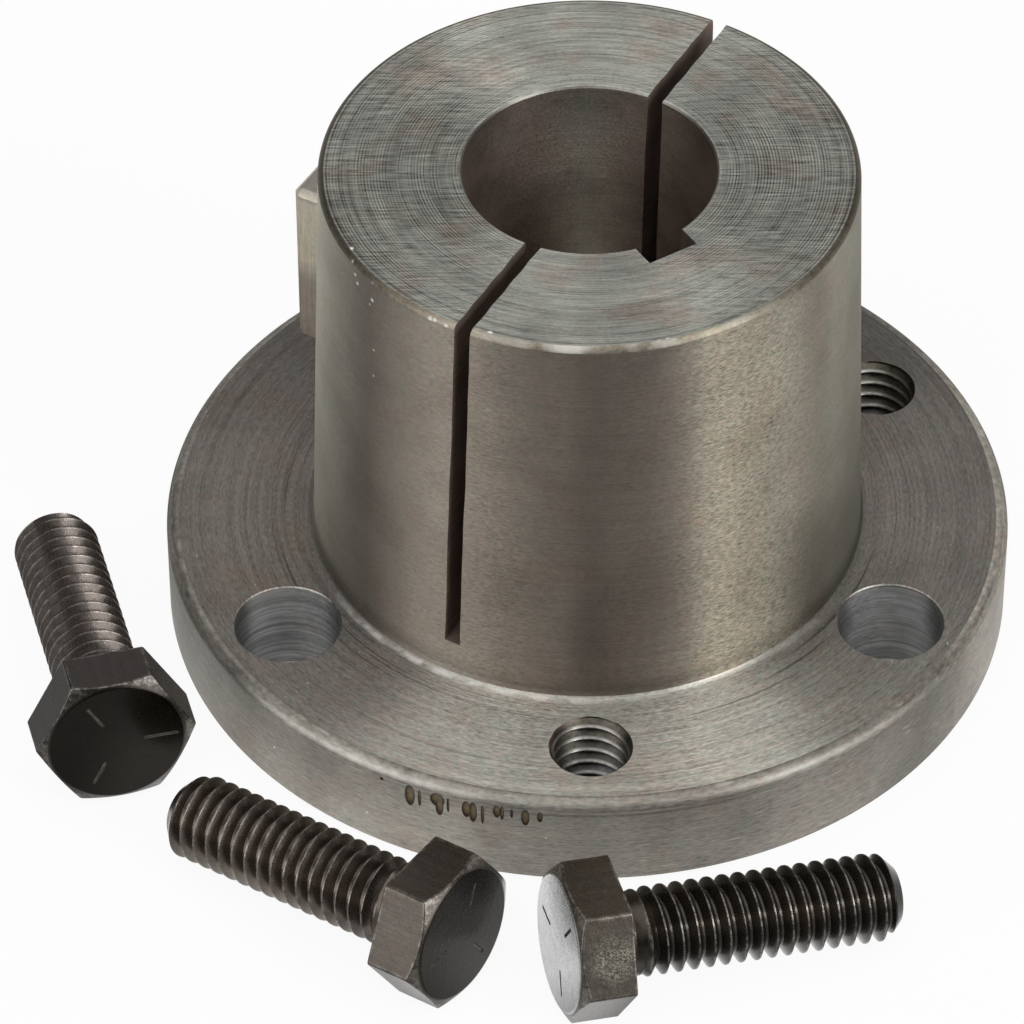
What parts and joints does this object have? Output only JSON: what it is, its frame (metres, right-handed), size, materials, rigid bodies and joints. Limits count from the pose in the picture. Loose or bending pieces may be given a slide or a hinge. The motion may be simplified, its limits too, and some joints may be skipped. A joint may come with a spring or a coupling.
{
  "type": "split taper bushing",
  "caption": "Flanged split taper bushing with a keyed bore, an outside key on its barrel, and hex cap screws lying loose beside it.",
  "frame": {"origin": "centre of the bore on the flange's outer face, which stands on the floor", "axes": "+Z along the bore towards the barrel's nose, +X to the right of the picture, +Y away from the viewer"},
  "size_m": [0.0903, 0.0966, 0.0492],
  "materials": {
    "bushing_steel": "turned and drilled steel, matt, with brownish blotches",
    "key_steel": "drawn key steel, straw tint",
    "screw_steel": "black oxide, slightly oily"
  },
  "bodies": {
    "root": {"split_bushing": "bushing_steel", "barrel_key": "key_steel", "cap_screws": "screw_steel"}
  },
  "joints": []
}
